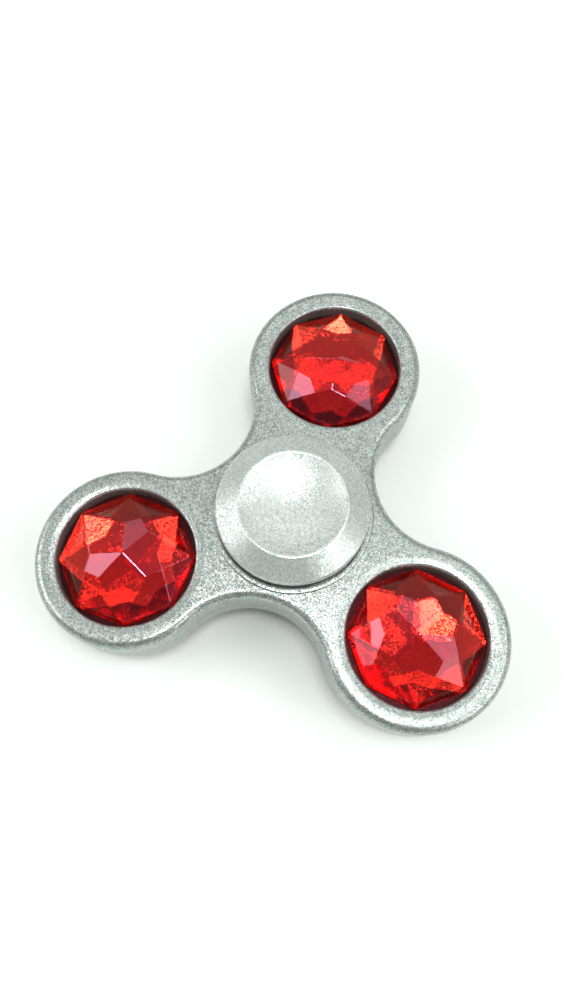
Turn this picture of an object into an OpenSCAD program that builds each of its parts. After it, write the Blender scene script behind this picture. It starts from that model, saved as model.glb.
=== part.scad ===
// Three-lobed fidget spinner on a 608 ball bearing, with a faceted gem in each face of each lobe.
// The origin is the centre of the bearing, on the spin axis at mid-thickness. +Z points out of the front face.

/* [Body] */
// Distance from the spin axis to the centre of a lobe
lobe_pitch = 25; // [24:0.1:27]
// Outer radius of a lobe
lobe_r = 13.35; // [12.5:0.05:14]
// Distance from the spin axis to the narrowest point between two lobes
waist_r = 13.25; // [13:0.05:14]
// Thickness of the body, face to face
body_t = 10; // [9:0.1:11]
// Outer radius of the raised collar around the bearing seat
collar_r = 11.85; // [11.6:0.05:11.95]
// Height of the collar above the body's face
collar_h = 0.25; // [0.1:0.05:0.5]

/* [Lobe inserts] */
// Radius of the round window that holds the gems
window_r = 10.15; // [10.1:0.05:10.6]
// Thickness of the steel weight between the two gems of a lobe
weight_t = 5; // [4:0.1:5.2]
// Thickness of the foil behind a gem
foil_t = 0.1; // [0.05:0.01:0.15]

/* [Gems] */
// Distance from a gem's axis to a corner of its eight-sided girdle
gem_r = 9.95; // [9.6:0.05:10]
// Height of the upright girdle wall
girdle_h = 1.04; // [0.8:0.02:1.2]
// Distance from a gem's axis to the corners of the inner star
star_r = 4.8; // [4:0.1:5]
// Tilt of the eight facets that meet at the point
table_tilt = 13.3; // [12:0.1:15]
// Tilt of the eight kite facets
kite_tilt = 27; // [26:0.1:28]
// Tilt of the eight facets that reach the girdle
girdle_tilt = 36.2; // [36:0.1:38]
// Turn of the gems about their own axes, lobe by lobe, in degrees
gem_turn_1 = 7.6; // [0:0.1:45]
gem_turn_2 = 16; // [0:0.1:45]
gem_turn_3 = 12; // [0:0.1:45]

/* [Finger caps] */
// Largest radius of a finger cap
cap_r = 11.12; // [10.5:0.01:11.5]
// Height of a cap's highest point above the body's face
cap_h = 5.6; // [5:0.1:6]
// Height above the body's face where the cap's side turns into its bevel
cap_side_h = 3.6; // [3.2:0.1:4]
// Clear height between the cap's underside and the body's face
cap_gap = 2.2; // [1.8:0.1:2.6]
// Radius where the bevel meets the flat rim
cap_rim_r = 7.95; // [7.6:0.05:8.4]
// Width of the flat rim around the finger dish
cap_rim_w = 0.3; // [0.2:0.05:0.5]
// Depth of the finger dish
dish_depth = 1.4; // [1:0.1:2]
// Length of the stem pressed into the bearing's bore
stem_l = 3.2; // [2.5:0.1:3.4]

/* [Bearing] */
// Radius of the bearing's bore
bore_r = 4; // [3.9:0.1:4]
// Outer radius of the bearing
bearing_r = 11; // [11:0.05:11.2]
// Width of the bearing
bearing_w = 7; // [6.8:0.1:7]
// Radius of the circle through the ball centres
ball_pitch_r = 7.5; // [7.4:0.05:7.5]
// Diameter of a ball
ball_d = 3.969; // [3.9:0.001:4]
// Number of balls
ball_count = 7; // [6:1:7]
// Outer radius of the inner ring's shoulders
inner_land_r = 6.05; // [5.9:0.05:6.1]
// Inner radius of the outer ring's shoulders
outer_land_r = 8.95; // [8.9:0.05:9.1]
// Thickness of the sheet that the ball cage is pressed from
cage_t = 0.35; // [0.3:0.01:0.4]
// Thickness of a seal
seal_t = 0.35; // [0.3:0.01:0.4]

/* [Hidden] */
$fn = 96;
lobe_count = 3;
gem_sides = 8;
overcut = 1;
arc_steps = 4;

// The arc between two lobes touches both: its centre distance follows from waist_r
lobe_step = 360 / lobe_count;
valley_d = (pow(lobe_pitch, 2) - pow(lobe_r - waist_r, 2)) / (lobe_pitch + 2 * (lobe_r - waist_r));
valley_r = valley_d - waist_r;
half_t = body_t / 2;

// Gem heights, counted down from its point. Each comes from two facet planes that meet there
half_sector = 180 / gem_sides;
sector_cos = cos(half_sector);
tan_table = tan(table_tilt);
tan_kite = tan(kite_tilt);
tan_girdle = tan(girdle_tilt);
mid_r = star_r * (tan_kite - sector_cos * tan_table) / (sector_cos * tan_kite - tan_table);
tip_r = (mid_r * (tan_girdle - tan_table) - star_r * (tan_kite - sector_cos * tan_table))
        / (sector_cos * tan_girdle - tan_kite);
star_drop = star_r * sector_cos * tan_table;
mid_drop = mid_r * tan_table;
tip_drop = star_drop + (tip_r - star_r) * tan_kite;
edge_drop = mid_drop + (gem_r * sector_cos - mid_r) * tan_girdle;
crown_h = edge_drop + girdle_h;
gem_seat_z = weight_t / 2 + foil_t;
weight_r = window_r - 0.05;
foil_r = gem_r * sector_cos - 0.3;
gem_turns = [gem_turn_1, gem_turn_2, gem_turn_3];

cap_boss_r = 5.6;
cap_edge_r = 0.3;
stem_chamfer = 0.4;
dish_r = cap_rim_r - cap_rim_w;
dish_sphere_r = (pow(dish_r, 2) + pow(dish_depth, 2)) / (2 * dish_depth);

ball_r = ball_d / 2;
ball_gap = 0.02;
groove_r = ball_r + ball_gap;
ring_edge_r = 0.3;
seal_slot_r = 9.6;
seal_gap = 0.12;
seal_slot_depth = 0.75;
seal_lip_h = 0.3;
pocket_r = ball_r + 0.1;
cage_half_w = 0.75;
band_half_w = 0.65;
rivet_r = 0.3;
rivet_head_r = 0.5;
rivet_head_h = 0.2;

// Points of a quarter turn of radius r about (x, z), from angle a0 to angle a1
function arc(x, z, r, a0, a1) =
    [for (i = [0 : arc_steps]) let (a = a0 + (a1 - a0) * i / arc_steps) [x + r * cos(a), z + r * sin(a)]];

// Places its children at lobe number i
module at_lobe(i) {
    rotate([0, 0, 90 + lobe_step * (i - 1)])
        translate([lobe_pitch, 0, 0])
            rotate([0, 0, -90 - lobe_step * (i - 1)])
                children();
}

// Disc of radius r and height 2 * h, centred on the mid-plane, with rounded edges
module rounded_disc(r, h, rounding) {
    rotate_extrude()
        polygon(concat(
            [[0, -h]],
            arc(r - rounding, rounding - h, rounding, -90, 0),
            arc(r - rounding, h - rounding, rounding, 0, 90),
            [[0, h]]
        ));
}

// Outline of the body: a six-cornered web and three round lobes, less the three hollow arcs between them
module outline() {
    web = [for (i = [0 : 2 * lobe_count - 1])
        let (a = 90 + i * lobe_step / 2, d = i % 2 == 0 ? lobe_pitch : valley_d) d * [cos(a), sin(a)]];
    difference() {
        union() {
            polygon(web);
            for (i = [1 : lobe_count]) at_lobe(i) circle(r = lobe_r);
        }
        for (i = [1 : lobe_count])
            rotate([0, 0, 90 + lobe_step * (i - 0.5)]) translate([valley_d, 0]) circle(r = valley_r);
    }
}

// One-piece moulding: a round window through each lobe, a collared bearing seat in the middle
module body() {
    bore_h = body_t + 2 * collar_h + 2 * overcut;
    color("silver")
        difference() {
            union() {
                linear_extrude(height = body_t, center = true) outline();
                cylinder(r = collar_r, h = body_t + 2 * collar_h, center = true);
            }
            for (i = [1 : lobe_count]) at_lobe(i) cylinder(r = window_r, h = bore_h, center = true);
            cylinder(r = bearing_r, h = bore_h, center = true);
        }
}

// Steel disc that loads the lobe and carries a gem on each side
module lobe_weight(i) {
    color("gray") at_lobe(i) cylinder(r = weight_r, h = weight_t, center = true);
}

// Reflecting foil behind a gem
module foil(i) {
    color("orangered")
        at_lobe(i) translate([0, 0, weight_t / 2]) cylinder(r = foil_r, h = foil_t);
}

// Ring of corners of radius r at height z, starting at angle a
function corners(r, z, a) =
    [for (k = [0 : gem_sides - 1]) [r * cos(a + k * 2 * half_sector), r * sin(a + k * 2 * half_sector), z]];

// Rose-cut stone: eight facets around the point, eight kites, eight facets down to an eight-sided girdle, flat back
module rose_cut() {
    n = gem_sides;
    points = concat(
        corners(gem_r, 0, 0),
        corners(gem_r, girdle_h, 0),
        corners(tip_r, crown_h - tip_drop, 0),
        corners(mid_r, crown_h - mid_drop, half_sector),
        corners(star_r, crown_h - star_drop, 0),
        [[0, 0, crown_h]]
    );
    faces = concat(
        [[for (k = [0 : n - 1]) k]],
        [for (k = [0 : n - 1]) let (j = (k + 1) % n) [k, n + k, n + j, j]],
        [for (k = [0 : n - 1]) let (j = (k + 1) % n) [n + k, 2 * n + k, 3 * n + k, 2 * n + j, n + j]],
        [for (k = [0 : n - 1]) let (h = (k + n - 1) % n) [2 * n + k, 3 * n + h, 4 * n + k, 3 * n + k]],
        [for (k = [0 : n - 1]) let (j = (k + 1) % n) [3 * n + k, 4 * n + k, 5 * n, 4 * n + j]]
    );
    polyhedron(points, faces);
}

// Clear red stone glued over its foil
module gem(i) {
    color("crimson")
        at_lobe(i) translate([0, 0, gem_seat_z]) rotate([0, 0, gem_turns[i - 1]]) rose_cut();
}

// Dished finger cap with a boss that stands on the inner ring and a stem pressed into its bore
module finger_cap() {
    top = half_t + cap_h;
    side_top = half_t + cap_side_h;
    under = half_t + cap_gap;
    ring_top = bearing_w / 2;
    color("lightgray")
        difference() {
            rotate_extrude()
                polygon(concat(
                    [[0, ring_top - stem_l], [bore_r - stem_chamfer, ring_top - stem_l]],
                    [[bore_r, ring_top - stem_l + stem_chamfer], [bore_r, ring_top]],
                    [[cap_boss_r, ring_top], [cap_boss_r, under]],
                    arc(cap_r - cap_edge_r, under + cap_edge_r, cap_edge_r, -90, 0),
                    [[cap_r, side_top], [cap_rim_r, top], [0, top]]
                ));
            translate([0, 0, top + dish_sphere_r - dish_depth]) sphere(r = dish_sphere_r);
        }
}

// Groove that the balls run in
module ball_groove() {
    rotate_extrude() translate([ball_pitch_r, 0]) circle(r = groove_r);
}

// Inner ring, fixed to the finger caps
module bearing_inner_ring() {
    color("gainsboro")
        difference() {
            rounded_disc(inner_land_r, bearing_w / 2, ring_edge_r);
            cylinder(r = bore_r, h = bearing_w + 2 * overcut, center = true);
            ball_groove();
        }
}

// Outer ring, pressed into the body
module bearing_outer_ring() {
    slot_z = bearing_w / 2 - seal_slot_depth;
    color("gainsboro")
        difference() {
            rounded_disc(bearing_r, bearing_w / 2, ring_edge_r);
            cylinder(r = outer_land_r, h = bearing_w + 2 * overcut, center = true);
            for (side = [-1, 1])
                translate([0, 0, side * (slot_z + (seal_slot_depth + overcut) / 2)])
                    cylinder(r = seal_slot_r, h = seal_slot_depth + overcut, center = true);
            ball_groove();
        }
}

// Seal between the rings, held in the outer ring's slot
module bearing_seal() {
    slot_z = bearing_w / 2 - seal_slot_depth;
    inner_r = inner_land_r + seal_gap;
    color("dimgray")
        rotate_extrude()
            polygon([
                [inner_r, slot_z], [seal_slot_r, slot_z], [seal_slot_r, slot_z + seal_t],
                [inner_r + 2 * seal_lip_h, slot_z + seal_t], [inner_r + seal_lip_h, slot_z + seal_t + seal_lip_h / 2],
                [inner_r, slot_z + seal_t + seal_lip_h / 2]
            ]);
}

// Half of the pressed ball cage: a flat ring with a domed band over each ball
module cage_half() {
    color("darkkhaki")
        difference() {
            union() {
                rotate_extrude()
                    translate([ball_pitch_r - cage_half_w, 0]) square([2 * cage_half_w, cage_t]);
                for (k = [1 : ball_count])
                    at_ball(k) intersection() {
                        sphere(r = pocket_r + cage_t);
                        translate([-band_half_w, -ball_d, 0]) cube([2 * band_half_w, 2 * ball_d, ball_d]);
                    }
            }
            for (k = [1 : ball_count]) at_ball(k) sphere(r = pocket_r);
            for (k = [1 : ball_count])
                at_ball(k + 0.5) cylinder(r = rivet_r, h = 2 * overcut, center = true);
        }
}

// Places its children on the ball circle, at ball number k
module at_ball(k) {
    rotate([0, 0, 90 + 360 / ball_count * (k - 1)]) translate([ball_pitch_r, 0, 0]) children();
}

// Rivets that join the two halves of the cage between the balls
module cage_rivets() {
    color("tan")
        for (k = [1 : ball_count])
            at_ball(k + 0.5) {
                cylinder(r = rivet_r, h = 2 * cage_t, center = true);
                for (side = [0, 1])
                    mirror([0, 0, side])
                        translate([0, 0, cage_t]) cylinder(r = rivet_head_r, h = rivet_head_h);
            }
}

// Bearing ball
module ball(k) {
    color("white") at_ball(k) sphere(r = ball_r);
}

module to_rear() {
    mirror([0, 0, 1]) children();
}

body();
for (i = [1 : lobe_count]) {
    lobe_weight(i);
    gem(i);
    to_rear() gem(i);
    foil(i);
    to_rear() foil(i);
}
finger_cap();  // finger_cap_front
to_rear() finger_cap();  // finger_cap_rear
bearing_inner_ring();
bearing_outer_ring();
bearing_seal();  // bearing_seal_front
to_rear() bearing_seal();  // bearing_seal_rear
cage_half();  // cage_half_front
to_rear() cage_half();  // cage_half_rear
cage_rivets();
for (k = [1 : ball_count]) {
    ball(k);
}
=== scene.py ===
"""Looks for a three-lobed fidget spinner: silver flake paint, red foiled stones and a ball bearing."""

import math

import bmesh
import bpy
from mathutils import Matrix, Vector


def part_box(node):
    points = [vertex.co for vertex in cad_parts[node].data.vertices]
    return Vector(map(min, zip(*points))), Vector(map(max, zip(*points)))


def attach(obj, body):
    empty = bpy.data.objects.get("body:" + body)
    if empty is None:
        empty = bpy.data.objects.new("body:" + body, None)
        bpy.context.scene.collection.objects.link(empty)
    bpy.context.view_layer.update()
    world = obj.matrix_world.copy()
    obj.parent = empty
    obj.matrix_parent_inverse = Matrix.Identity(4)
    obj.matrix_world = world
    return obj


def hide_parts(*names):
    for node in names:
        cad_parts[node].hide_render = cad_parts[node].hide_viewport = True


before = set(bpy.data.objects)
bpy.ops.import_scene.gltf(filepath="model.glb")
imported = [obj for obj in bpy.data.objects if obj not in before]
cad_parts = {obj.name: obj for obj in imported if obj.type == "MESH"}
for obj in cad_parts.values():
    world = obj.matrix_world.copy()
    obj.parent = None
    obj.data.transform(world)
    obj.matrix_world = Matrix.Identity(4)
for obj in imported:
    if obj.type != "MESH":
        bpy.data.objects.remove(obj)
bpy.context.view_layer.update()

MM = 0.001

# ---------------------------------------------------------------- sizes, in millimetres


def span(node):
    """Lowest and highest corner of a CAD node, in millimetres."""
    low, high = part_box(node)
    return low / MM, high / MM


def radius_of(node):
    """Radius of a round CAD node, in millimetres."""
    low, high = span(node)
    return (high.x - low.x) / 2


# The body's plan: three lobes, and a hollow arc between each two
LOBES = 3
LOBE_STEP = 2 * math.pi / LOBES
LOBE_R = 13.35
LOBE_PITCH = span("body")[1].y - LOBE_R
WAIST_R = 13.25
VALLEY_D = (LOBE_PITCH**2 - (LOBE_R - WAIST_R) ** 2) / (LOBE_PITCH + 2 * (LOBE_R - WAIST_R))
VALLEY_R = VALLEY_D - WAIST_R
LOBE_SWEEP = math.atan2(
    VALLEY_D * math.sin(LOBE_STEP / 2), VALLEY_D * math.cos(LOBE_STEP / 2) - LOBE_PITCH
)
VALLEY_SWEEP = LOBE_SWEEP - LOBE_STEP / 2

# The body's section: outer wall with its parting line, windows, and the collar round the seat
COLLAR_TOP = span("body")[1].z
COLLAR_H = 0.25
HALF_T = COLLAR_TOP - COLLAR_H
EDGE_R = 1.2
FLAT_EDGE = 0.04  # a narrow level strip round each flat face, so that the face shades flat
PARTING_LINE = ((0.0, 0.16), (0.07, 0.05))  # (depth, height above mid-plane)
WEIGHT_GAP = 0.05
WINDOW_R = radius_of("lobe_weight_1") + WEIGHT_GAP
WINDOW_RIM = 0.45
# (distance from the window, depth)
WINDOW_DIP = ((1.4 + FLAT_EDGE, 0.0), (1.4, 0.0), (1.1, 0.012), (0.7, 0.05))
WINDOW_SINK = 0.1
SEAT_R = radius_of("bearing_outer_ring")
SEAT_EDGE_R = 0.16
COLLAR_R = 11.85
COLLAR_EDGE_R = 0.14
COLLAR_FILLET = ((0.08 + FLAT_EDGE, 0.0), (0.08, 0.0), (0.02, 0.03))  # (distance from the collar, height)

# The stones
GEM_SIDES = 8
GEM_STEP = 2 * math.pi / GEM_SIDES
GEM_R = 9.95
GEM_BASE = span("front_gem_1")[0].z
GLUE = 0.02
GEM_APEX = span("front_gem_1")[1].z
GIRDLE_H = 1.04
STAR_R = 4.8
TABLE_TAN, KITE_TAN, GIRDLE_TAN = (math.tan(math.radians(a)) for a in (13.3, 27.0, 36.2))
GEM_TURNS = tuple(math.radians(a) for a in (7.6, 16.0, 12.0))
GEM_BEVEL = 0.09

# The finger caps
CAP_R = radius_of("finger_cap_front")
CAP_TOP = span("finger_cap_front")[1].z
CAP_FOOT = span("finger_cap_front")[0].z
CAP_SIDE_TOP = HALF_T + 3.6
CAP_UNDER = HALF_T + 2.2
CAP_RIM_R = 7.95
CAP_RIM_W = 0.3
CAP_EDGE_R = 0.3
SHOULDER_ROUND = 0.22
CREST_ROUND = 0.12
DISH_DEPTH = 1.4
BOSS_R = 5.6
BOSS_CHAMFER = 0.1
BOSS_FILLET = 0.15
BEARING_TOP = span("bearing_inner_ring")[1].z
STEM_R = 4.0
STEM_CHAMFER = 0.4

# How finely round shapes are divided
LOBE_STEPS, VALLEY_STEPS, ROUND_STEPS = 96, 44, 8
WINDOW_STEPS, SEAT_STEPS, CAP_STEPS, FLOOR_STEPS = 128, 160, 192, 96
DISH_RINGS = 24

# ---------------------------------------------------------------- node helpers


class Shader:
    """A material whose nodes are added one by one."""

    def __init__(self, name):
        self.material = bpy.data.materials.new(name)
        self.material.use_nodes = True
        self.tree = self.material.node_tree
        self.bsdf = self.tree.nodes["Principled BSDF"]
        self.output = self.tree.nodes["Material Output"]
        self.place = self.tree.nodes.new("ShaderNodeTexCoord").outputs["Object"]

    def node(self, kind, inputs=None, **settings):
        made = self.tree.nodes.new(kind)
        for key, value in settings.items():
            setattr(made, key, value)
        for key, value in (inputs or {}).items():
            self.feed(value, made.inputs[key])
        return made

    def feed(self, value, socket):
        if isinstance(value, bpy.types.NodeSocket):
            self.tree.links.new(value, socket)
        else:
            socket.default_value = value

    def set(self, **values):
        """Principled inputs, by name with _ for a space."""
        for key, value in values.items():
            self.feed(value, self.bsdf.inputs[key.replace("_", " ")])

    def voronoi(self, size):
        """Random cells of about that size, in millimetres."""
        return self.node("ShaderNodeTexVoronoi", {"Vector": self.place, "Scale": 1 / (size * MM)}).outputs

    def noise(self, size, detail):
        """Soft noise with features of about that size, in millimetres."""
        inputs = {"Vector": self.place, "Scale": 1 / (size * MM), "Detail": detail}
        return self.node("ShaderNodeTexNoise", inputs).outputs["Fac"]

    def channel(self, colour, index):
        """One channel of a colour: 0 for red, 1 for green, 2 for blue."""
        return self.node("ShaderNodeSeparateColor", {"Color": colour}).outputs[index]

    def ramp(self, fac, stops):
        """Colour ramp through (position, colour or grey) stops."""
        made = self.node("ShaderNodeValToRGB", {"Fac": fac})
        elements = made.color_ramp.elements
        while len(elements) < len(stops):
            elements.new(0.5)
        for element, (position, colour) in zip(elements, stops):
            grey = isinstance(colour, (int, float))
            element.position = position
            element.color = (colour, colour, colour, 1) if grey else (*colour, 1)
        return made.outputs["Color"]

    def sum(self, a, weight_a, b, weight_b):
        """Weighted sum of two numbers."""
        parts = [
            self.node("ShaderNodeMath", {0: value, 1: weight}, operation="MULTIPLY").outputs[0]
            for value, weight in ((a, weight_a), (b, weight_b))
        ]
        return self.node("ShaderNodeMath", {0: parts[0], 1: parts[1]}, operation="ADD").outputs[0]

    def multiply(self, a, b):
        """Product of two colours."""
        made = self.node("ShaderNodeMix", {0: 1.0, 6: a, 7: b}, data_type="RGBA", blend_type="MULTIPLY")
        return made.outputs[2]

    def bump(self, height, distance, strength=1.0):
        """Bump of the given height field; distance is its depth in millimetres."""
        inputs = {"Height": height, "Distance": distance * MM, "Strength": strength}
        return self.node("ShaderNodeBump", inputs).outputs["Normal"]

    def vector(self, operation, inputs):
        return self.node("ShaderNodeVectorMath", inputs, operation=operation).outputs[0]

    def flake_normal(self, cell_colour, tilt, base):
        """The base normal, turned a different way in each cell, as metal flakes lie in paint."""
        offset = self.vector("SUBTRACT", {0: cell_colour, 1: (0.5, 0.5, 0.5)})
        scaled = self.vector("SCALE", {0: offset, "Scale": tilt})
        return self.vector("NORMALIZE", {0: self.vector("ADD", {0: base, 1: scaled})})


# ---------------------------------------------------------------- materials


def silver_flake(name, flake, dark, light, tilt, metal):
    """Sprayed silver paint with metal flakes that glint one by one, slightly orange-peeled and worn.

    flake is a flake's size in millimetres, dark and light are the two ends of their colour, tilt is how
    far they lean out of the surface, and metal is how much of the surface is flake rather than binder."""
    s = Shader(name)
    cells = s.voronoi(flake)["Color"]
    fine = s.channel(cells, 0)
    coarse = s.channel(s.voronoi(flake * 2.1)["Color"], 1)
    middle = [(a + b) / 2 for a, b in zip(dark, light)]
    colour = s.ramp(s.sum(fine, 0.78, coarse, 0.22), [(0.15, dark), (0.55, middle), (0.85, light)])
    cloud = s.ramp(s.noise(7.0, 3.0), [(0.3, 0.92), (0.7, 1.0)])
    worn = s.sum(s.voronoi(2.4)["Distance"], 1.0, s.noise(3.0, 4.0), 0.5)
    chips = s.ramp(worn, [(0.22, 0.45), (0.27, 1.0)])
    peel = s.bump(s.noise(0.9, 2.0), 0.012)
    s.set(
        Base_Color=s.multiply(s.multiply(colour, cloud), chips),
        Metallic=metal,
        Roughness=s.ramp(fine, [(0.0, 0.38), (1.0, 0.30)]),
        Normal=s.flake_normal(cells, tilt, peel),
    )
    return s.material


def clear_red():
    """Clear red acrylic with a violet-pink sheen on its facets: the red is in its depth."""
    s = Shader("red_acrylic")
    s.set(
        Base_Color=(0.95, 0.40, 0.60, 1),
        Specular_Tint=(1.0, 0.74, 0.80, 1),
        Roughness=0.0,
        IOR=1.52,
        Transmission_Weight=1.0,
        Thin_Film_Thickness=325.0,
        Thin_Film_IOR=1.62,
        Normal=s.bump(s.noise(3.5, 1.0), 0.004),
    )
    volume = s.node("ShaderNodeVolumeAbsorption")
    volume.inputs["Color"].default_value = (0.90, 0.10, 0.14, 1)
    volume.inputs["Density"].default_value = 150.0
    s.tree.links.new(volume.outputs[0], s.output.inputs["Volume"])
    return s.material


def red_foil():
    """Finely embossed red foil: a mirror that turns to glitter wherever a lamp shines on it."""
    s = Shader("red_gold_foil")
    grain = s.voronoi(0.18)["Color"]
    waves = s.bump(s.noise(6.0, 1.0), 0.05, 0.6)
    s.set(
        Base_Color=s.ramp(s.channel(grain, 0), [(0.0, (0.82, 0.065, 0.034)), (1.0, (0.98, 0.180, 0.050))]),
        Metallic=1.0,
        Roughness=0.09,
        Normal=s.flake_normal(grain, 0.05, waves),
    )
    return s.material


def steel(name, colour, roughness):
    """Ground steel with fine, uneven polish."""
    grain = 0.4
    s = Shader(name)
    s.set(
        Base_Color=s.ramp(s.noise(2.2, 4.0), [(0.3, [c * 0.86 for c in colour]), (0.7, colour)]),
        Metallic=1.0,
        Roughness=s.ramp(s.noise(grain, 3.0), [(0.3, roughness * 0.8), (0.7, roughness * 1.3)]),
        Normal=s.bump(s.noise(grain * 0.5, 3.0), 0.004),
    )
    return s.material


def rubber():
    """Black moulded rubber, faintly dusty."""
    s = Shader("seal_rubber")
    s.set(
        Base_Color=s.ramp(s.noise(1.4, 4.0), [(0.35, (0.010, 0.010, 0.011)), (0.75, (0.028, 0.028, 0.030))]),
        Roughness=s.ramp(s.noise(0.5, 2.0), [(0.3, 0.5), (0.7, 0.68)]),
        Normal=s.bump(s.noise(0.25, 2.0), 0.01),
    )
    return s.material


# The wall inside a window is painted darker than the faces: painted shade for the shadowed window bore. The
# turned caps get the smoothest coat.
BODY_PAINT = silver_flake("body_flake_paint", 0.15, (0.20, 0.235, 0.22), (0.58, 0.63, 0.605), 0.10, 0.70)
CAP_PAINT = silver_flake("cap_flake_paint", 0.14, (0.44, 0.49, 0.465), (0.78, 0.84, 0.80), 0.11, 0.56)
WINDOW_WALL_SHADE_PAINT = silver_flake("window_wall_painted_shade", 0.17, (0.16, 0.18, 0.172), (0.36, 0.39, 0.375), 0.2, 0.5)
RED = clear_red()
FOIL = red_foil()
BEARING_STEEL = steel("bearing_steel", (0.62, 0.63, 0.64), 0.22)
CAGE_STEEL = steel("cage_steel", (0.52, 0.51, 0.47), 0.38)
WEIGHT_SHADE_STEEL = steel("weight_steel", (0.050, 0.010, 0.012), 0.42)  # dark red: painted shade for the shadowed gap round each stone
BALL_STEEL = steel("ball_steel", (0.80, 0.80, 0.81), 0.06)
RUBBER = rubber()

# ---------------------------------------------------------------- mesh helpers


def polar(r, a, z=0.0, cx=0.0, cy=0.0):
    """The point at radius r and angle a round (cx, cy), at height z."""
    return Vector((cx + r * math.cos(a), cy + r * math.sin(a), z))


def lobe_angle(i):
    """The way to lobe i: the first one lies along +Y."""
    return math.pi / 2 + LOBE_STEP * i


def quarter(x, z, r, a0, a1, steps):
    """Points of an arc in the (radius, height) plane, angles in degrees."""
    angles = [math.radians(a0 + (a1 - a0) * k / steps) for k in range(steps + 1)]
    return [(x + r * math.cos(a), z + r * math.sin(a)) for a in angles]


def soften(a, corner, b, steps):
    """Points of a small arc that rounds a corner between a and b."""
    points = []
    for k in range(steps + 1):
        t = k / steps
        p = a * (1 - t) ** 2 + corner * 2 * t * (1 - t) + b * t**2
        points.append((p.x, p.y))
    return points


def circle(r, z, steps, cx=0.0, cy=0.0):
    return [polar(r, 2 * math.pi * k / steps, z, cx, cy) for k in range(steps)]


def both_faces(upper):
    """A profile from the front face to the mid-plane, carried on to the rear face."""
    return upper + [(r, -z) for r, z in reversed(upper)]


def ring(bm, points):
    """A loop of vertices at those points, which are in millimetres."""
    return [bm.verts.new(p * MM) for p in points]


def skin(bm, loops, inner=0):
    """Quads between each loop of vertices and the next. Those of a tall wall get material number inner."""
    for a, b in zip(loops, loops[1:]):
        tall = abs(a[0].co.z - b[0].co.z) > HALF_T * MM
        for k in range(len(a)):
            j = (k + 1) % len(a)
            bm.faces.new((a[k], a[j], b[j], b[k])).material_index = inner if tall else 0


def loop_edges(bm, loop):
    """The edges between neighbours in a loop of vertices."""
    return [bm.edges.get(pair) for pair in zip(loop, loop[1:] + loop[:1])]


def piece(name, bm, materials, body, smooth=True):
    """Makes an object of the mesh and lets it ride on a body."""
    bmesh.ops.recalc_face_normals(bm, faces=bm.faces)
    mesh = bpy.data.meshes.new(name)
    bm.to_mesh(mesh)
    bm.free()
    for material in materials:
        mesh.materials.append(material)
    for polygon in mesh.polygons:
        polygon.use_smooth = smooth
    obj = bpy.data.objects.new(name, mesh)
    bpy.context.scene.collection.objects.link(obj)
    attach(obj, body)
    return obj


def keep_flats_flat(obj):
    """Rounded edges shade into flat faces without bending them."""
    weighted = obj.modifiers.new("flat_faces", "WEIGHTED_NORMAL")
    weighted.mode = "FACE_AREA"
    weighted.weight = 90


# ---------------------------------------------------------------- body


def outline(inset, z):
    """The body's outline at height z, drawn in by inset: three lobes and the hollow arcs between them."""
    points = []
    for i in range(LOBES):
        a = lobe_angle(i)
        b = a + LOBE_STEP / 2
        lobe = polar(LOBE_PITCH, a)
        valley = polar(VALLEY_D, b)
        for k in range(LOBE_STEPS):
            q = a - LOBE_SWEEP + 2 * LOBE_SWEEP * k / LOBE_STEPS
            points.append(polar(LOBE_R - inset, q, z, lobe.x, lobe.y))
        for k in range(VALLEY_STEPS):
            q = b + math.pi + VALLEY_SWEEP - 2 * VALLEY_SWEEP * k / VALLEY_STEPS
            points.append(polar(VALLEY_R + inset, q, z, valley.x, valley.y))
    return points


def outer_wall():
    """(inset, height) down the outer wall, from the front face to the rear one."""
    upper = [(EDGE_R + FLAT_EDGE, HALF_T)]
    upper += [(EDGE_R - x, z) for x, z in quarter(0, HALF_T - EDGE_R, EDGE_R, 90, 0, ROUND_STEPS)]
    return both_faces(upper + list(PARTING_LINE))


def window_wall():
    """(radius, height) through a window, with its soft lips."""
    dip = [(WINDOW_R + away, HALF_T - depth) for away, depth in WINDOW_DIP]
    rim_z = HALF_T - WINDOW_RIM - WINDOW_SINK
    return both_faces(dip + quarter(WINDOW_R + WINDOW_RIM, rim_z, WINDOW_RIM, 80, 180, 5))


def seat_wall():
    """(radius, height) over the collar and through the bearing's seat."""
    upper = [(COLLAR_R + away, HALF_T + height) for away, height in COLLAR_FILLET]
    upper += quarter(COLLAR_R - COLLAR_EDGE_R, COLLAR_TOP - COLLAR_EDGE_R, COLLAR_EDGE_R, 0, 90, 4)
    upper += quarter(SEAT_R + SEAT_EDGE_R, COLLAR_TOP - SEAT_EDGE_R, SEAT_EDGE_R, 90, 180, 4)
    return both_faces(upper)


def body_piece():
    """The moulding: its walls, and the two flat faces that they leave between them."""
    bm = bmesh.new()
    walls = [[ring(bm, outline(inset, z)) for inset, z in outer_wall()]]
    skin(bm, walls[0])
    for i in range(LOBES):
        centre = polar(LOBE_PITCH, lobe_angle(i))
        walls.append([ring(bm, circle(r, z, WINDOW_STEPS, centre.x, centre.y)) for r, z in window_wall()])
        # the window walls take material 1, the darker wall paint that is painted shade
        skin(bm, walls[-1], 1)
    walls.append([ring(bm, circle(r, z, SEAT_STEPS)) for r, z in seat_wall()])
    skin(bm, walls[-1])
    for end in (0, -1):
        edges = [e for wall in walls for e in loop_edges(bm, wall[end])]
        bmesh.ops.triangle_fill(bm, use_beauty=True, use_dissolve=False, edges=edges)
    obj = piece("body_shell", bm, [BODY_PAINT, WINDOW_WALL_SHADE_PAINT], "frame")
    keep_flats_flat(obj)
    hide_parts("body")


# ---------------------------------------------------------------- finger caps


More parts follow.
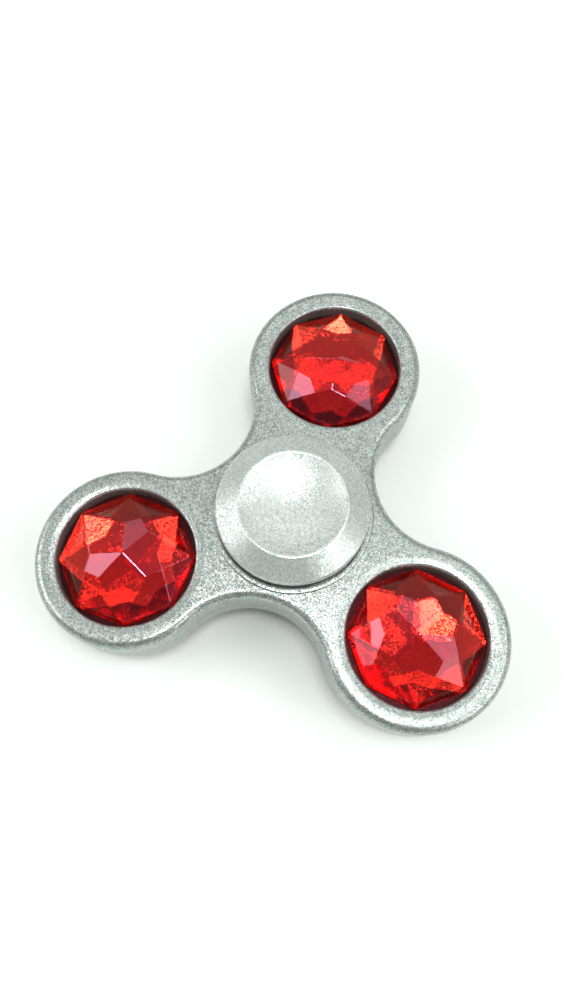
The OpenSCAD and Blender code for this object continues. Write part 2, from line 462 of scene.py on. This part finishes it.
def cap_foot():
    """(radius, height) from the stem's end, past the boss, to the top of the cap's upright side."""
    points = [(STEM_R - STEM_CHAMFER, CAP_FOOT), (STEM_R, CAP_FOOT + STEM_CHAMFER), (STEM_R, BEARING_TOP)]
    points += [(BOSS_R - BOSS_CHAMFER, BEARING_TOP), (BOSS_R, BEARING_TOP + BOSS_CHAMFER)]
    points += [(BOSS_R, CAP_UNDER - BOSS_FILLET), (BOSS_R + BOSS_FILLET, CAP_UNDER)]
    return points + quarter(CAP_R - CAP_EDGE_R, CAP_UNDER + CAP_EDGE_R, CAP_EDGE_R, -90, 0, 5)


def cap_bevel():
    """(radius, height) over the cap's softened shoulder and crest."""
    shoulder = Vector((CAP_R, CAP_SIDE_TOP))
    crest = Vector((CAP_RIM_R, CAP_TOP))
    up = Vector((0, SHOULDER_ROUND))
    slope = (crest - shoulder).normalized()
    points = soften(shoulder - up, shoulder, shoulder + slope * SHOULDER_ROUND, 4)
    return points + soften(crest - slope * CREST_ROUND, crest, crest - Vector((0.08, 0)), 3)


def cap_dish():
    """(radius, height) from the dish's lip to its centre, along a sphere."""
    dish_r = CAP_RIM_R - CAP_RIM_W
    sphere_r = (dish_r**2 + DISH_DEPTH**2) / (2 * DISH_DEPTH)
    radii = [dish_r * (1 - k / DISH_RINGS) for k in range(DISH_RINGS + 1)]
    dish = [(r, CAP_TOP - DISH_DEPTH + sphere_r - math.sqrt(sphere_r**2 - r**2)) for r in radii]
    lip = Vector(dish[0])
    slope = (Vector(dish[1]) - lip).normalized()
    return soften(lip + Vector((0.06, 0)), lip, lip + slope * CREST_ROUND, 3) + dish[1:]


def cap_piece(name, node, side):
    """A turned cap: stem, boss, dished top with a crisp rim. side is 1 for the front, -1 for the rear."""
    bm = bmesh.new()
    *profile, (_, dish_floor) = cap_foot() + cap_bevel() + cap_dish()
    loops = [ring(bm, circle(r, side * z, CAP_STEPS)) for r, z in profile]
    skin(bm, loops)
    centre = bm.verts.new((0, 0, side * dish_floor * MM))
    last = loops[-1]
    for k in range(len(last)):
        bm.faces.new((last[k], last[(k + 1) % len(last)], centre))
    bm.faces.new(loops[0])
    obj = piece(name, bm, [CAP_PAINT], "hub")
    keep_flats_flat(obj)
    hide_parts(node)


# ---------------------------------------------------------------- stones


def rose_cut(bm, centre, turn, side):
    """A rose-cut stone: a point, eight star facets, eight kites, eight girdle facets, a girdle and a back.

    The facets' tilts fix where they meet: at star, at the kites' outer ends (tip) and sides (mid)."""
    c = math.cos(GEM_STEP / 2)
    drop = STAR_R * (KITE_TAN - c * TABLE_TAN)
    mid_r = drop / (c * KITE_TAN - TABLE_TAN)
    tip_r = (mid_r * (GIRDLE_TAN - TABLE_TAN) - drop) / (c * GIRDLE_TAN - KITE_TAN)
    star_z = GEM_APEX - STAR_R * c * TABLE_TAN
    mid_z = GEM_APEX - mid_r * TABLE_TAN
    tip_z = star_z - (tip_r - STAR_R) * KITE_TAN

    def corners(r, z, half=0.0):
        """Eight corners at radius r and height z, turned on by that part of a side."""
        angles = [turn + (k + half) * GEM_STEP for k in range(GEM_SIDES)]
        return ring(bm, [polar(r, a, side * z, centre.x, centre.y) for a in angles])

    base = corners(GEM_R, GEM_BASE + GLUE)
    edge = corners(GEM_R, GEM_BASE + GIRDLE_H)
    tip = corners(tip_r, tip_z)
    mid = corners(mid_r, mid_z, 0.5)
    star = corners(STAR_R, star_z)
    point = bm.verts.new(Vector((centre.x, centre.y, side * GEM_APEX)) * MM)
    back = bm.faces.new(base)
    for k in range(GEM_SIDES):
        j = (k + 1) % GEM_SIDES
        h = k - 1
        bm.faces.new((base[k], base[j], edge[j], edge[k]))
        bm.faces.new((edge[k], edge[j], tip[j], mid[k], tip[k]))
        bm.faces.new((tip[k], mid[k], star[k], mid[h]))
        bm.faces.new((star[k], mid[k], star[j], point))
    return back


def gem_piece(i, face, side):
    """One stone with its foil on the flat back. side is 1 for the front, -1 for the rear."""
    bm = bmesh.new()
    back = rose_cut(bm, polar(LOBE_PITCH, lobe_angle(i)), GEM_TURNS[i], side)
    rounded = [e for e in bm.edges if back not in e.link_faces]
    bmesh.ops.bevel(bm, geom=rounded, offset=GEM_BEVEL * MM, segments=2, profile=0.5, affect="EDGES")
    for f in bm.faces:
        f.material_index = 1 if abs(f.calc_center_median().z) < (GEM_BASE + 2 * GLUE) * MM else 0
    name = f"{face}_stone_{i + 1}"
    obj = piece(name, bm, [RED, FOIL], "frame", smooth=False)
    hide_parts(f"{face}_gem_{i + 1}")


# ---------------------------------------------------------------- the object


def paint_node(node, material):
    """Gives a CAD node that stays its material."""
    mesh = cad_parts[node].data
    mesh.materials.clear()
    mesh.materials.append(material)


body_piece()
cap_piece("front_cap", "finger_cap_front", 1)
cap_piece("rear_cap", "finger_cap_rear", -1)
for lobe in range(LOBES):
    gem_piece(lobe, "front", 1)
    gem_piece(lobe, "rear", -1)

# The CAD nodes that stay, by a word in their names
KEPT = {
    # the weights' dark red is painted shade for the gap round each stone
    "lobe_weight": WEIGHT_SHADE_STEEL,
    "foil": FOIL,
    "bearing_inner": BEARING_STEEL,
    "bearing_outer": BEARING_STEEL,
    "seal": RUBBER,
    "cage": CAGE_STEEL,
    "ball": BALL_STEEL,
}
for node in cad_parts:
    for key, material in KEPT.items():
        if key in node:
            paint_node(node, material)

# ---------------------------------------------------------------- floor, light and camera


FLOOR_R = 330


def floor():
    """The plain white table that the rear cap stands on."""
    bm = bmesh.new()
    bm.faces.new(ring(bm, circle(FLOOR_R, -CAP_TOP, FLOOR_STEPS)))
    mesh = bpy.data.meshes.new("floor")
    bm.to_mesh(mesh)
    bm.free()
    s = Shader("floor_white")
    s.set(Base_Color=(0.91, 0.955, 0.92, 1), Roughness=0.6, Specular_IOR_Level=0.2)
    mesh.materials.append(s.material)
    obj = bpy.data.objects.new("floor", mesh)
    bpy.context.scene.collection.objects.link(obj)


def look_at(obj, place, target, roll=0.0):
    """Puts a lamp or camera at a place and aims it, rolled about its line of sight."""
    obj.location = place
    turn = (Vector(target) - Vector(place)).to_track_quat("-Z", "Y").to_matrix().to_4x4()
    obj.rotation_euler = (turn @ Matrix.Rotation(roll, 4, "Z")).to_euler()


def softbox(name, azimuth, elevation, distance, width, height, brightness):
    """A rectangular lamp aimed at the object. Azimuth is counted from +X towards +Y, in degrees."""
    light = bpy.data.lights.new(name, "AREA")
    light.shape = "RECTANGLE"
    light.size = width
    light.size_y = height
    light.energy = brightness * math.pi * width * height
    obj = bpy.data.objects.new(name, light)
    bpy.context.scene.collection.objects.link(obj)
    a, e = math.radians(azimuth), math.radians(elevation)
    look_at(obj, polar(math.cos(e), a, math.sin(e)) * distance, (0, 0, 0))


def studio():
    """Pale walls down to the table, greyer overhead, and dark where the photographer stands."""
    world = bpy.data.worlds.new("studio")
    world.use_nodes = True
    tree = world.node_tree
    place = tree.nodes.new("ShaderNodeTexCoord").outputs["Generated"]

    def along(axis, stops):
        """Grey by how far a direction points along the axis."""
        facing = tree.nodes.new("ShaderNodeVectorMath")
        facing.operation = "DOT_PRODUCT"
        facing.inputs[1].default_value = Vector(axis).normalized()
        ramp = tree.nodes.new("ShaderNodeValToRGB")
        for element, (position, grey) in zip(ramp.color_ramp.elements, stops):
            element.position = position
            element.color = (grey * 0.965, grey, grey * 0.98, 1)
        tree.links.new(place, facing.inputs[0])
        tree.links.new(facing.outputs["Value"], ramp.inputs["Fac"])
        return ramp.outputs["Color"]

    photographer = along((0.08, -0.90, 0.45), [(0.42, 0.46), (0.60, 0.19)])
    walls = along((0, 0, 1), [(0.04, 0.85), (0.24, 0.1)])
    mix = tree.nodes.new("ShaderNodeMix")
    mix.data_type = "RGBA"
    mix.blend_type = "LIGHTEN"
    mix.inputs[0].default_value = 1.0
    tree.links.new(photographer, mix.inputs[6])
    tree.links.new(walls, mix.inputs[7])
    tree.links.new(mix.outputs[2], tree.nodes["Background"].inputs["Color"])
    bpy.context.scene.world = world


# The camera stands off the target, in metres, at that heading round from -Y and that height in angle.
VIEW_HEADING = math.radians(16.21)
VIEW_ELEVATION = math.radians(72.69)
VIEW_ROLL = math.radians(0.74)
VIEW_DISTANCE = 0.12072
VIEW_TARGET = Vector((-2.218, 1.742, HALF_T)) * MM
FOCAL = 29.47


def camera():
    data = bpy.data.cameras.new("camera")
    data.lens = FOCAL
    data.sensor_width = 36
    data.clip_start = 0.002
    obj = bpy.data.objects.new("camera", data)
    bpy.context.scene.collection.objects.link(obj)
    away = polar(math.cos(VIEW_ELEVATION), VIEW_HEADING - math.pi / 2, math.sin(VIEW_ELEVATION))
    look_at(obj, VIEW_TARGET + away * VIEW_DISTANCE, VIEW_TARGET, -VIEW_ROLL)
    bpy.context.scene.camera = obj


floor()
softbox("key_overhead", -36, 85, 0.45, 0.09, 0.09, 26)
softbox("high_left_window", -164, 51, 0.45, 0.17, 0.12, 6.0)
softbox("low_left_window", -168, 32, 0.45, 0.32, 0.16, 2.6)
softbox("high_right_window", 8, 54, 0.45, 0.24, 0.20, 2.7)
softbox("low_right_window", -20, 36, 0.45, 0.26, 0.16, 3.4)
softbox("far_window", 100, 56, 0.5, 0.44, 0.13, 1.4)
studio()
camera()
bpy.context.scene.view_settings.view_transform = "Standard"
bpy.context.scene.cycles.max_bounces = 16
bpy.context.scene.cycles.transmission_bounces = 14
bpy.context.scene.cycles.glossy_bounces = 8
